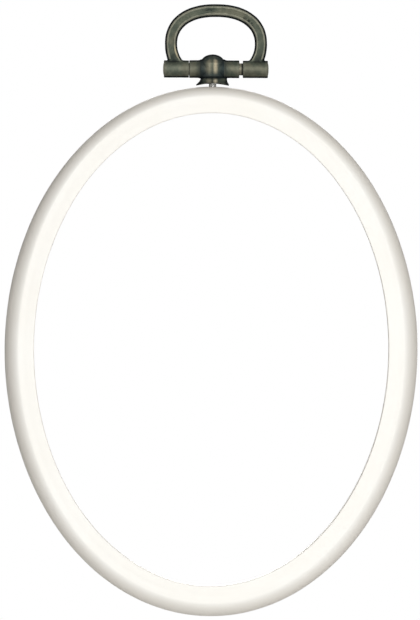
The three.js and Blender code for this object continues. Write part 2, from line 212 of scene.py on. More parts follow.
# How uneven the surfaces are: the height and the length of each layer of waves
VINYL_WAVES = (0.05, 17), (0.015, 5)
CAST_WAVES = (0.022, 1.3), (0.009, 0.35)
PIN_WEAR_HEIGHT = 0.01
PIN_WEAR_LENGTH = 0.8

# The camera and what it sees: the photo's height spans VIEW_HEIGHT at the hoop
CAMERA_DISTANCE = 1.6
CAMERA_AZIMUTH = -0.8
CAMERA_ELEVATION = 0.6
CAMERA_ROLL = 0.3
VIEW_HEIGHT = 0.1576
VIEW_RISE = 0.0106
VIEW_SHIFT = -0.000345
SENSOR = 36.0

# The floor under the hanging part, and the shares of its radius between which it turns white
FLOOR_DROP = 0.09
FLOOR_RADIUS = 0.6
FLOOR_SIDES = 96
FLOOR_FADE = 0.2, 0.9
FLOOR_WHITENESS = 0.5, 1.0

# Colours as linear red, green and blue. Tones are the two between which a colour varies.
VINYL_TONES = (0.94, 0.92, 0.865), (0.95, 0.936, 0.89)
# Painted shade: the warmer, darker tone the vinyl takes where it faces sideways
VINYL_SIDE_SHADE = (0.93, 0.885, 0.805)
# Painted shade: the dark warm tone of tight corners between the vinyl and the parts against it
VINYL_CORNER_SHADE = (0.78, 0.7, 0.57)
IVORY_TONES = (0.9, 0.84, 0.73), (0.93, 0.88, 0.78)
# Near black: the real patina of hollows, roots, smudge and corrosion, and also the painted shade on the
# bronze's slopes
BLACK_PATINA_AND_SHADE = (0.004, 0.006, 0.007)
# Painted shade: the dark blue-green towards the boss's edges and on the barrel beside it
BOSS_EDGE_SHADE = (0.012, 0.019, 0.022)
HANGER_OLIVES = (0.063, 0.074, 0.057), (0.102, 0.112, 0.083)
BAR_OLIVES = (0.05, 0.059, 0.045), (0.079, 0.087, 0.064)
BROWN_PATINA = (0.112, 0.1, 0.07)
# Rubbed tan metal on ridges, and the painted highlight that their bevels catch
RIDGE_WEAR_AND_HIGHLIGHT = (0.185, 0.182, 0.14)
RUBBED_BRONZE = (0.3, 0.26, 0.17)
# Painted highlights: the tan strokes down boss and neck, brighter on the neck
HIGHLIGHT_STROKE_TONES = (0.32, 0.28, 0.195), (0.62, 0.56, 0.42)
PIN_TONES = (0.16, 0.154, 0.115), (0.24, 0.225, 0.165)
# Painted shadow: the dark band that the right knuckle casts on the pin
PIN_KNUCKLE_SHADOW = (0.005, 0.007, 0.007)
STEEL_TONES = (0.76, 0.76, 0.75), (0.88, 0.88, 0.87)
FLOOR_GREY = (0.86, 0.86, 0.855)
WHITE = (1, 1, 1, 1)

# The part of its range that most of a noise fills, and a wider one
NOISE_MIDDLE = 0.35, 0.65
NOISE_WIDE = 0.3, 0.7

# How many rays tell how open a place is
OPENNESS_SAMPLES = 8

# How squarely a surface faces front or back where its painted shade changes, from 0 on a side to 1
VINYL_FACING = 0.35, 0.97
HANGER_FACING = 0.44, 0.68
BAR_FACING = 0.8, 0.96
SIDE_FACING = 0.04, 0.2

# Where the patina and its painted shade change: heights from the hinge axis, and distances sideways from the
# middle of the boss.
# A height above the boss's own middle counts for BOSS_UPPER_SHARE of itself.
BAR_FOOT = 4.2, 5.0
ARM_FOOT = 2.0, 2.5
ARM_SIDE = 3.3, 4.5
BOSS_MIDDLE_X = -0.1
BOSS_MIDDLE_HEIGHT = 0.6
BOSS_UPPER_SHARE = 0.7
BOSS_FADE = 0.3, 3.1
BOSS_EDGE = 2.9, 3.15
BARREL_FADE = 2.9, 4.6
NECK_TOP = -2.5, -2.3

# How much of its lightness the painted shade on boss, barrel and neck keeps, from the first limit of such a
# fade to the second
BOSS_PAINTED_LIGHTNESS = 0.85, 0.1
BARREL_PAINTED_LIGHTNESS = 0.4, 1.0
NECK_PAINTED_LIGHTNESS = 0.6

# Painted highlight strokes down the front of boss and neck, with heights from the hinge axis
RIGHT_STROKE_X = 0.68
RIGHT_STROKE_HALF_WIDTH = 0.82
LEFT_STROKE_X = -0.95
LEFT_STROKE_HALF_WIDTH = 1.1
LEFT_STROKE_STRENGTH = 0.36
STROKE_FRONT_Y = -2.0, -2.4
STROKE_FOOT = -1.7, 0
STROKE_TOP = 1.9, 3.5
NECK_STROKE_DROP = 3.1
NECK_STROKE_HALF_HEIGHT = 0.95

# Spots on the loop, each with its place and its radius
LEFT_ROOT = (-10.2, -1.2, -10.4), 2.6
RIGHT_ROOT = (11.9, -1.2, -10.4), 2.6
CROWN_SMUDGE = (-1.1, -1.2, 1.8), 2.8
CORRODED_SPOT = (7.9, -1.2, -2.5), 3.8
RUBBED_SPOT = (-9.2, -1.2, -8.8), 2.4
ROOT_DARKNESS = 0.6

# How far places stand out where the patina turns black, or is rubbed and gets painted highlights, in
# hundredths of a millimetre
HOLLOW_RELIEF = -7, -0.8
RIDGE_RELIEF = 0.2, 7
RUBBED_RELIEF = 1.0, 5.0
HANGER_RIDGE_STRENGTH = 0.3


def arc(centre, radii, from_degrees, to_degrees, steps, fullness=2):
    """Points on an arc, with both ends. A fullness of 2 makes it an ellipse, and one towards 1 flatter."""
    angles = np.radians(np.linspace(from_degrees, to_degrees, steps + 1))
    turns = [(math.cos(angle), math.sin(angle)) for angle in angles]
    reaches = [[math.copysign(abs(share) ** (2 / fullness), share) for share in turn] for turn in turns]
    return [(centre[0] + radii[0] * x, centre[1] + radii[1] * y) for x, y in reaches]


def quarter(centre, radius, from_degrees, steps):
    """Points on a quarter of a circle."""
    return arc(centre, (radius, radius), from_degrees, from_degrees + 90, steps)


def placed(name, data):
    """A new object in the scene."""
    made = bpy.data.objects.new(name, data)
    bpy.context.scene.collection.objects.link(made)
    return made


def mesh_object(name, points, faces):
    """A closed mesh in millimetres with its faces pointing out."""
    mesh = bpy.data.meshes.new(name)
    mesh.from_pydata([tuple(p) for p in points], [], faces)
    shaped = bmesh.new()
    shaped.from_mesh(mesh)
    bmesh.ops.recalc_face_normals(shaped, faces=shaped.faces)
    shaped.to_mesh(mesh)
    shaped.free()
    return placed(name, mesh)


def skin(name, rings, closed):
    """Rings of points joined into one surface, which closes on itself or gets end caps."""
    sides = len(rings[0])
    faces = []
    for ring in range(len(rings) if closed else len(rings) - 1):
        start = ring * sides
        following = (ring + 1) % len(rings) * sides
        for side in range(sides):
            turn = (side + 1) % sides
            faces.append((start + side, start + turn, following + turn, following + side))
    if not closed:
        faces.append(tuple(range(sides)))
        faces.append(tuple(range((len(rings) - 1) * sides, len(rings) * sides)))
    return mesh_object(name, [point for ring in rings for point in ring], faces)


def turned(name, profile, along="Z", centre=(0, 0, 0)):
    """Points of (radius, height) turned about an axis. They start and end on it, or close as a ring."""
    points, faces, rows = [], [], []
    for radius, height in profile:
        count = 1 if radius == 0 else ROUND_SIDES
        rows.append([len(points) + i for i in range(count)])
        for angle in SIDE_ANGLES[:count]:
            points.append((radius * math.cos(angle), radius * math.sin(angle), height))
    pairs = list(zip(rows, rows[1:]))
    if len(rows[0]) > 1:
        pairs.append((rows[-1], rows[0]))
    for below, above in pairs:
        for i in range(ROUND_SIDES):
            turn = (i + 1) % ROUND_SIDES
            if len(below) == 1:
                faces.append((below[0], above[turn], above[i]))
            elif len(above) == 1:
                faces.append((below[i], below[turn], above[0]))
            else:
                faces.append((below[i], below[turn], above[turn], above[i]))
    made = mesh_object(name, points, faces)
    if along == "X":
        made.data.transform(Matrix.Rotation(math.pi / 2, 4, "Y"))
    made.data.transform(Matrix.Translation(centre))
    return made


def rod_profile(radius, low, high):
    """A plain rod, divided along its length so that a bore cut with it has even faces."""
    rows = max(2, round((high - low) / BORE_STEP))
    return [(0, low), *[(radius, z) for z in np.linspace(low, high, rows)], (0, high)]


def apply_modifiers(made):
    """Replaces an object's mesh by what its modifiers make of it."""
    graph = bpy.context.evaluated_depsgraph_get()
    shaped = bpy.data.meshes.new_from_object(made.evaluated_get(graph))
    made.modifiers.clear()
    made.data = shaped


def cut(made, tools):
    """Takes the forms of the tools out of a piece."""
    for tool in tools:
        boolean = made.modifiers.new("cut", "BOOLEAN")
        boolean.operation = "DIFFERENCE"
        boolean.solver = "EXACT"
        boolean.object = tool
    apply_modifiers(made)
    for tool in tools:
        bpy.data.objects.remove(tool)
    return made


def read_mesh(mesh):
    """Places, normals and edges of a mesh as arrays."""
    places = np.empty(len(mesh.vertices) * 3)
    normals = np.empty(len(mesh.vertices) * 3)
    edges = np.empty(len(mesh.edges) * 2, int)
    mesh.vertices.foreach_get("co", places)
    mesh.vertices.foreach_get("normal", normals)
    mesh.edges.foreach_get("vertices", edges)
    return places.reshape(-1, 3), normals.reshape(-1, 3), edges.reshape(-1, 2)


def write_places(mesh, places):
    """Moves a mesh's vertices to their new places."""
    mesh.vertices.foreach_set("co", places.ravel())
    mesh.update()


def neighbour_mean(places, edges):
    """Where each vertex's neighbours lie on average."""
    first, second = edges.T
    size = len(places)
    count = np.bincount(edges.ravel(), minlength=size)
    totals = [
        np.bincount(first, places[second, axis], size) + np.bincount(second, places[first, axis], size)
        for axis in range(3)
    ]
    return np.stack(totals, axis=1) / np.maximum(count, 1)[:, None]


def fill_hollows(made, passes):
    """Rounds inner corners outwards, as the fillets of a casting do, and leaves outer ones."""
    places, normals, edges = read_mesh(made.data)
    for _ in range(passes):
        outward = np.sum((neighbour_mean(places, edges) - places) * normals, axis=1)
        places += FILL_SHARE * np.maximum(outward, 0)[:, None] * normals
    write_places(made.data, places)
    return made


def shift_vertices(made, rule):
    """Moves each vertex along its normal by what a rule gives for its place, in millimetres."""
    places, normals, _ = read_mesh(made.data)
    shifts = np.array([rule(Vector(place)) for place in places])
    write_places(made.data, places + shifts[:, None] * normals)


def mark_relief(made, passes):
    """Stores how far each place stands out of its surroundings, in hundredths of a millimetre."""
    places, normals, edges = read_mesh(made.data)
    soft = places.copy()
    for _ in range(passes):
        soft = (soft + neighbour_mean(soft, edges)) / 2
    relief = np.sum((places - soft) * normals, axis=1) / RELIEF_UNIT
    attribute = made.data.attributes.new("relief", "FLOAT", "POINT")
    attribute.data.foreach_set("value", relief.astype(np.float32))


def melt(name, parts, fillet_passes):
    """Joins overlapping forms into one cast skin with soft edges, and fillets that more passes widen."""
    vertices, faces = [], []
    for part in parts:
        start = len(vertices)
        vertices += [tuple(vertex.co) for vertex in part.data.vertices]
        faces += [tuple(start + i for i in polygon.vertices) for polygon in part.data.polygons]
        bpy.data.objects.remove(part)
    mesh = bpy.data.meshes.new(name)
    mesh.from_pydata(vertices, [], faces)
    made = placed(name, mesh)
    remesh = made.modifiers.new("melt", "REMESH")
    remesh.mode = "VOXEL"
    remesh.voxel_size = CAST_VOXEL
    soften = made.modifiers.new("soften", "SMOOTH")
    soften.factor = SOFTEN_FACTOR
    soften.iterations = SOFTEN_PASSES
    apply_modifiers(made)
    return fill_hollows(made, fillet_passes)


def finish_piece(made, body, node, material, sharp_degrees=SHARP_DEGREES):
    """Turns a piece into metres, shades it, ties it to its body, and hides the solid of its node."""
    made.data.transform(Matrix.Scale(MM, 4))
    made.data.shade_smooth()
    made.data.set_sharp_from_angle(angle=math.radians(sharp_degrees))
    made.data.materials.clear()
    made.data.materials.append(material)
    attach(made, body)
    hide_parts(node)


def face_width(angle):
    """How wide the soft face is, from the sides over to the top or the bottom."""
    end = FACE_WIDTH_TOP if math.sin(angle) > 0 else FACE_WIDTH_BOTTOM
    return FACE_WIDTH_SIDE + (end - FACE_WIDTH_SIDE) * math.sin(angle) ** 2


def shoulder_reach(angle):
    """Width and depth of the sloping shoulder, which is smaller at the top."""
    share = 1 - (1 - TOP_SHOULDER_SHARE) * max(0, math.sin(angle)) ** 2
    return SHOULDER_WIDTH * share, SHOULDER_DEPTH * share


def swept_hoop(name, section_at):
    """A section of (offset, y) points for each angle, carried round the oval opening outside its edge."""
    rings = []
    for step in range(HOOP_STEPS):
        angle = 2 * math.pi * step / HOOP_STEPS
        edge = Vector((HALF_OPENING_WIDE * math.cos(angle), HALF_OPENING_HIGH * math.sin(angle)))
        outward = Vector((HALF_OPENING_HIGH * math.cos(angle), HALF_OPENING_WIDE * math.sin(angle)))
        outward.normalize()
        rings.append([])
        for offset, y in section_at(angle):
            flat = edge + outward * offset
            rings[-1].append((HOOP_CENTRE.x + flat.x, HOOP_CENTRE.y + y, OPENING_Z + flat.y))
    return skin(name, rings, True)


def face_line(end, steps):
    """The broad face between the lip's edge and the shoulder, with a soft crease over the lip's root."""
    offsets = np.linspace(LIP_EDGE_RADIUS, end, steps + 1)[1:-1]
    return [
        (offset, CREASE_DEPTH * math.exp(-(((offset - WALL_INSIDE) / CREASE_WIDTH) ** 2)) - HALF_DEPTH)
        for offset in offsets
    ]


def outer_hoop_section(angle):
    """From the lip's edge over face, shoulder and back to the rebate, the wall and the back of the lip."""
    width = face_width(angle)
    slope = shoulder_reach(angle)
    rebate_side = FLANGE_OUTSIDE + FABRIC_GAP
    rebate_floor = FLANGE_FRONT - FABRIC_GAP
    lip_back = LIP_THICKNESS - HALF_DEPTH
    lip_edge = (LIP_EDGE_RADIUS, LIP_EDGE_RADIUS - HALF_DEPTH)
    shoulder = (width - slope[0], slope[1] - HALF_DEPTH)
    back_edge = (width - BACK_EDGE_RADIUS, HALF_DEPTH - BACK_EDGE_RADIUS)
    return [
        *quarter(lip_edge, LIP_EDGE_RADIUS, 180, EDGE_STEPS),
        *face_line(width - slope[0], FACE_STEPS),
        *arc(shoulder, slope, 270, 360, SHOULDER_STEPS, SHOULDER_FULLNESS),
        *quarter(back_edge, BACK_EDGE_RADIUS, 0, EDGE_STEPS),
        *quarter((rebate_side + SMALL_RADIUS, HALF_DEPTH - SMALL_RADIUS), SMALL_RADIUS, 90, CORNER_STEPS),
        (rebate_side, rebate_floor),
        *quarter((WALL_INSIDE + SMALL_RADIUS, rebate_floor - SMALL_RADIUS), SMALL_RADIUS, 90, CORNER_STEPS),
        (WALL_INSIDE, lip_back),
        *quarter((SMALL_RADIUS, lip_back - SMALL_RADIUS), SMALL_RADIUS, 90, CORNER_STEPS),
    ]


def inner_hoop_section(_):
    """From the back inside over the band, its bead and the front of the flange to the back outside."""
    front = LIP_THICKNESS + FABRIC_GAP - HALF_DEPTH
    bead = front + BEAD_SETBACK
    band_edge = front + BAND_EDGE_RADIUS
    back = HALF_DEPTH - SMALL_RADIUS
    flange_edge = FLANGE_OUTSIDE - SMALL_RADIUS
    bead_line = [
        (BAND_OUTSIDE + BEAD_HEIGHT * (1 + math.cos(math.pi * share)) / 2, bead + share * BEAD_WIDTH / 2)
        for share in np.linspace(-1, 1, BEAD_STEPS + 1)
    ]
    return [
        *quarter((BAND_SETBACK + SMALL_RADIUS, back), SMALL_RADIUS, 90, BEVEL_STEPS),
        *quarter((BAND_SETBACK + BAND_EDGE_RADIUS, band_edge), BAND_EDGE_RADIUS, 180, SMALL_EDGE_STEPS),
        *quarter((BAND_OUTSIDE - BAND_EDGE_RADIUS, band_edge), BAND_EDGE_RADIUS, 270, SMALL_EDGE_STEPS),
        *bead_line,
        (BAND_OUTSIDE, FLANGE_FRONT),
        *quarter((flange_edge, FLANGE_FRONT + SMALL_RADIUS), SMALL_RADIUS, 270, CORNER_STEPS),
        *quarter((flange_edge, back), SMALL_RADIUS, 0, BEVEL_STEPS),
    ]


def uneven(place, layers):
    """How far a place is moved by layers of waves, each with its height and length."""
    return sum(height * noise.noise(place / length) for height, length in layers)


def outer_hoop(material):
    """The soft outer hoop, with the hole for the screw and the counterbore for its washer and head."""
    made = swept_hoop("outer_hoop_vinyl", outer_hoop_section)
    shift_vertices(made, lambda place: uneven(place, VINYL_WAVES))
    foot = OPENING_Z + HALF_OPENING_HIGH + WALL_INSIDE - FABRIC_GAP
    pocket_radius = (WASHER_HIGH.x - WASHER_LOW.x) / 2 + WASHER_CLEARANCE
    hole = rod_profile(SCREW_RADIUS + SCREW_CLEARANCE, foot, HOOP_HIGH.z + HOLE_OVERRUN)
    pocket = rod_profile(pocket_radius, foot, WASHER_HIGH.z + SEAT_CLEARANCE)
    cut(made, [turned("hole", hole), turned("pocket", pocket)])
    finish_piece(made, "outer", "outer_hoop", material)


def inner_hoop(material):
    """The rigid inner hoop with its flange and grip bead."""
    made = swept_hoop("inner_hoop_band", inner_hoop_section)
    finish_piece(made, "inner", "inner_hoop", material)


def bell_profile():
    """Underside, skirt, hollow flare, neck, column and dome, from the axis to the axis."""
    skirt_top = SKIRT_EDGE - SKIRT_DROP
    recess = SKIRT_RECESS - SKIRT_DROP
    flare_middle = (SKIRT_RADIUS + NECK_RADIUS) / 2 - SKIRT_HOLLOW
    foot = (COLUMN_RADIUS - COLUMN_EDGE, COLUMN_EDGE - WAIST_DROP)
    return [
        (0, recess),
        (SKIRT_RADIUS - SKIRT_WALL - SKIRT_RECESS, recess),
        (SKIRT_RADIUS - SKIRT_WALL, -SKIRT_DROP),
        (SKIRT_RADIUS, -SKIRT_DROP),
        (SKIRT_RADIUS, skirt_top),
        (flare_middle, (skirt_top - NECK_DROP) / 2),
        (NECK_RADIUS, -NECK_DROP),
        *quarter(foot, COLUMN_EDGE, 270, SMALL_EDGE_STEPS),
        *arc((0, DOME_HEIGHT - DOME_RISE), (COLUMN_RADIUS, DOME_RISE), 0, 90, DOME_STEPS)[:-1],
        (0, DOME_HEIGHT),
    ]


def square_reach(x, y):
    """How far a squarish outline reaches in a direction, where a round one reaches 1."""
    radius = math.hypot(x, y)
    if radius == 0:
        return 1
    total = abs(x / radius) ** COLUMN_SQUARENESS + abs(y / radius) ** COLUMN_SQUARENESS
    return total ** (-1 / COLUMN_SQUARENESS)


def smooth_share(value, low, high):
    """How far a value is from one level to another, eased at both."""
    share = min(1, max(0, (value - low) / (high - low)))
    return share * share * (3 - 2 * share)


def bell_place(x, y, z):
    """Where a place of the turned bell goes: squared off beside the barrel, the neck fuller on the right."""
    below_dome = 1 - smooth_share(z, DOME_HEIGHT - DOME_RISE, DOME_HEIGHT)
    above_skirt = smooth_share(z, -SKIRT_DROP, -WAIST_DROP)
    reach = 1 + (square_reach(x, y) - 1) * (below_dome * above_skirt)
    drawn = min(1, max(0, (-NECK_DROP - z) / (SKIRT_DROP - NECK_DROP)))
    rounded = BOSS_ROUNDING * smooth_share(abs(z), 0, BOSS_ROUNDING_HEIGHT) - BOSS_BULGE
    swell = 1 - rounded * above_skirt
    fuller = NECK_FULLNESS * (1 - drawn) * (z < -WAIST_DROP) * smooth_share(x, 0, NECK_RADIUS)
    return x * reach - SKIRT_SHIFT * drawn + fuller, y * reach * swell, z + HINGE_Z


def skirt_arch():
    """The tool that arches the underside of the skirt over the hoop."""
    radius = (SKIRT_RADIUS**2 + SKIRT_ARCH**2) / (2 * SKIRT_ARCH)
    sweep = math.degrees(math.asin(SKIRT_RADIUS / radius)) * ARCH_OVERRUN
    beyond = 2 * SKIRT_RADIUS
    over = arc((0, SKIRT_ARCH - radius), (radius, radius), 90 + sweep, 90 - sweep, ARCH_STEPS)
    floor_z = HINGE_Z - SKIRT_DROP
    rings = [
        [(x - SKIRT_SHIFT, y, floor_z + up) for x, up in (*over, (0, -beyond))]
        for y in (-beyond, beyond)
    ]
    return skin("arch", rings, False)


def bell():
    """Skirt, neck, column and dome in one, with the skirt arched."""
    made = turned("bell", bell_profile())
    for vertex in made.data.vertices:
        vertex.co = bell_place(*vertex.co)
    return cut(made, [skirt_arch()])


def barrel():
    """The hinge barrel, a little thicker where it runs into the column."""
    flare_centre = (BARREL_RADIUS + ROOT_FLARE, COLUMN_RADIUS + ROOT_FLARE_LENGTH)
    flare = arc(flare_centre, (ROOT_FLARE, ROOT_FLARE_LENGTH), 270, 180, ROUNDING_STEPS)
    left_flare = [(radius, -x) for radius, x in reversed(flare)]
    left_end = [(0, HANGER_LOW.x), (BARREL_RADIUS, HANGER_LOW.x)]
    right_end = [(BARREL_RADIUS, HANGER_HIGH.x), (0, HANGER_HIGH.x)]
    profile = [*left_end, *left_flare, *flare, *right_end]
    return turned("barrel", profile, along="X", centre=(0, 0, HINGE_Z))


def seam(place):
    """The line down column and neck where the two halves of the mould met, with low lips beside it."""
    across = abs(place.x - SEAM_PLACE)
    groove = SEAM_DEPTH * math.exp(-((across / SEAM_WIDTH) ** 2))
    lip = SEAM_LIP_HEIGHT * math.exp(-(((across - SEAM_LIP_PLACE) / SEAM_LIP_WIDTH) ** 2))
    return (lip - groove) * smooth_share(abs(place.y), 0, SEAM_FADE)


def hanger(material):
    """The casting that the loop is hinged to, bored for the pin and tapped for the screw."""
    made = melt("hanger_casting", [bell(), barrel()], HANGER_FILLET_PASSES)
    shift_vertices(made, lambda place: seam(place) + uneven(place, CAST_WAVES))
    bore = rod_profile(PIN_RADIUS + PIN_CLEARANCE, 2 * HANGER_LOW.x, 2 * HANGER_HIGH.x)
    hole_foot = HANGER_LOW.z - HOLE_OVERRUN
    hole = rod_profile(SCREW_RADIUS + PIN_CLEARANCE, hole_foot, SCREW_HIGH.z + PIN_CLEARANCE)
    cut(made, [turned("bore", bore, along="X", centre=(0, 0, HINGE_Z)), turned("hole", hole)])
    mark_relief(made, RELIEF_PASSES)
    finish_piece(made, "hanger", "hanger_body", material, CAST_SHARP_DEGREES)


def outline_point(angle, half_width, rise, drop):
    """A point of the loop's outline: squarish above its widest level and a plain oval below."""
    above = math.sin(angle) >= 0
    power = 2 / SQUARENESS if above else 1
    along = math.copysign(abs(math.cos(angle)) ** power, math.cos(angle))
    up = math.copysign(abs(math.sin(angle)) ** power, math.sin(angle))
    return Vector((half_width * along, WIDEST_HEIGHT + up * (rise if above else drop)))


def arm_drop(half_width, root_x):
    """How far below its widest level an arm's outline would close, if it runs through its root."""
    return (WIDEST_HEIGHT - ARM_ROOT_HEIGHT) / math.sqrt(1 - (root_x / half_width) ** 2)


def bar_section(half_width):
    """The section of the bar: faces slightly hollow between their edges, and rounded bevels."""
    edge = half_width - BAR_BEVEL_WIDTH
    half_depth = BAR_DEPTH / 2
    hollow = [(share, BAR_HOLLOW * (1 - share**BAR_HOLLOW_POWER)) for share in BAR_FACE_SHARES]
    face = [(edge * share, half_depth - deep) for share, deep in hollow]
    bevel_centre = (edge, half_depth - BAR_BEVEL_DEPTH)
    bevel = arc(bevel_centre, (BAR_BEVEL_WIDTH, BAR_BEVEL_DEPTH), 90, 0, EDGE_STEPS)
    corner = [*face, *bevel]
    side = corner + [(across, -deep) for across, deep in reversed(corner)]
    return side + [(-across, -deep) for across, deep in side[1:-1]]


def loop_bar():
    """The oval bar from the root of one arm over the crown to the root of the other."""
    half_outside = KNUCKLE_OUTSIDE - KNUCKLE_OVERHANG
    half_inside = half_outside - ARM_WIDTH
    rise_inside = CLEAR_HEIGHT - WIDEST_HEIGHT
    rise_outside = rise_inside + CROWN_WIDTH
    drop_inside = arm_drop(half_inside, KNUCKLE_INSIDE + ARM_INNER_INSET)
    drop_outside = arm_drop(half_outside, KNUCKLE_OUTSIDE - ARM_OUTER_INSET)
    root_inside = math.asin((WIDEST_HEIGHT - ARM_ROOT_HEIGHT) / drop_inside)
    root_outside = math.asin((WIDEST_HEIGHT - ARM_ROOT_HEIGHT) / drop_outside)
    rings = []
    for share in np.linspace(0, 1, LOOP_STEPS + 1):
        angle_in = math.pi + root_inside - share * (math.pi + 2 * root_inside)
        angle_out = math.pi + root_outside - share * (math.pi + 2 * root_outside)
        inside = outline_point(angle_in, half_inside, rise_inside, drop_inside)
        outside = outline_point(angle_out, half_outside, rise_outside, drop_outside)
        middle = (inside + outside) / 2
        half_width = (outside - middle).length
        across = (outside - middle) / half_width
        rings.append([])
        for out, deep in bar_section(half_width):
            flat = middle + across * out
            rings[-1].append((LOOP_CENTRE_X + flat.x, deep, HINGE_Z + flat.y))
    return skin("bar", rings, False)


def hanging_loop(material):
    """The loop: the bar melted into its two knuckles, bored for the pin."""
    centre = (LOOP_CENTRE_X, 0, HINGE_Z)
    parts = [loop_bar()]
    for side in (-1, 1):
        knuckle = rod_profile(KNUCKLE_RADIUS, side * KNUCKLE_INSIDE, side * KNUCKLE_OUTSIDE)
        parts.append(turned("knuckle", knuckle, along="X", centre=centre))
    made = melt("loop_casting", parts, LOOP_FILLET_PASSES)
    shift_vertices(made, lambda place: uneven(place, CAST_WAVES))
    beyond = BORE_OVERRUN * KNUCKLE_OUTSIDE
    bore = rod_profile(PIN_RADIUS + PIN_CLEARANCE, -beyond, beyond)
    cut(made, [turned("bore", bore, along="X", centre=centre)])
    mark_relief(made, RELIEF_PASSES)
    finish_piece(made, "loop", "hanging_loop", material, CAST_SHARP_DEGREES)


def hinge_pin(material):
    """The pin, with both ends peened to low domes."""
    end = (PIN_HIGH.x - PIN_LOW.x) / 2
    shoulder = end - PIN_HEAD
    cap = arc((0, shoulder), (PIN_RADIUS, PIN_HEAD), 0, 90, ROUNDING_STEPS)[:-1]
    body = [(PIN_RADIUS, x) for x in np.linspace(-shoulder, shoulder, PIN_STEPS + 1)[1:-1]]
    profile = [(0, -end), *[(radius, -x) for radius, x in reversed(cap)], *body, *cap, (0, end)]
    made = turned("hinge_pin_rod", profile, along="X", centre=(LOOP_CENTRE_X, 0, HINGE_Z))
    shift_vertices(made, lambda place: min(0, PIN_WEAR_HEIGHT * noise.noise(place / PIN_WEAR_LENGTH)))
    finish_piece(made, "loop", "hinge_pin", material)


def thread_radius(height, angle):
    """The radius of a helical thread at a height above its start."""
    turn = (height / THREAD_PITCH - angle / (2 * math.pi)) % 1
    return SCREW_RADIUS - THREAD_DEPTH * abs(2 * turn - 1)


def level_ring(radii, z):
    """A ring of points at a height, with a radius for each side."""
    sides = zip(radii, SIDE_ANGLES)
    return [(radius * math.cos(angle), radius * math.sin(angle), z) for radius, angle in sides]


def screw_rings():
    """The screw from just off the axis of its head's low crown over the helical thread to its tip."""
    seat = SCREW_LOW.z + HEAD_HEIGHT
    head = arc((0, SCREW_LOW.z + HEAD_CROWN), (HEAD_RADIUS, HEAD_CROWN), HEAD_START, 360, CROWN_STEPS)
    head += [(HEAD_RADIUS, seat - SMALL_BEVEL), (HEAD_RADIUS - SMALL_BEVEL, seat), (SCREW_RADIUS, seat)]
    rings = [level_ring([radius] * ROUND_SIDES, z) for radius, z in head]
    for z in np.arange(seat + THREAD_START, SCREW_HIGH.z, THREAD_PITCH / THREAD_STEPS):
        rings.append(level_ring([thread_radius(z - seat, angle) for angle in SIDE_ANGLES], z))
    rings.append(level_ring([SCREW_RADIUS - THREAD_DEPTH] * ROUND_SIDES, SCREW_HIGH.z))
    return rings


def hanger_screw(material):
    """The screw, with a slot cut across its head."""
    made = skin("slotted_screw", screw_rings(), False)
    half_long, half_wide = 2 * HEAD_RADIUS, SLOT_WIDTH / 2
    corners = [(x * half_long, y * half_wide) for x, y in ((-1, -1), (1, -1), (1, 1), (-1, 1))]
    levels = (SCREW_LOW.z - SLOT_DEPTH, SCREW_LOW.z + SLOT_DEPTH)
    slot = skin("slot", [[(x, y, level) for x, y in corners] for level in levels], False)
    cut(made, [slot])
    finish_piece(made, "hanger", "hanger_screw", material)


def screw_washer(material):
    """A flat ring with softened edges."""
    inside = SCREW_RADIUS + SCREW_CLEARANCE
    outside = (WASHER_HIGH.x - WASHER_LOW.x) / 2
    low, high = WASHER_LOW.z + SMALL_BEVEL, WASHER_HIGH.z - SMALL_BEVEL
    corners = [(outside - SMALL_BEVEL, low), (outside - SMALL_BEVEL, high)]
    corners += [(inside + SMALL_BEVEL, high), (inside + SMALL_BEVEL, low)]
    profile = []
    for corner, turn in zip(corners, (270, 0, 90, 180)):
        profile += quarter(corner, SMALL_BEVEL, turn, BEVEL_STEPS)
    made = turned("washer_ring", profile)
    finish_piece(made, "outer", "screw_washer", material)


# The mix node's sockets by place: its factor, its numbers, its colours and its results
MIX_FACTOR = 0
MIX_NUMBERS = 2, 3
MIX_COLOURS = 6, 7
MIXED_NUMBER = 0
MIXED_COLOUR = 2


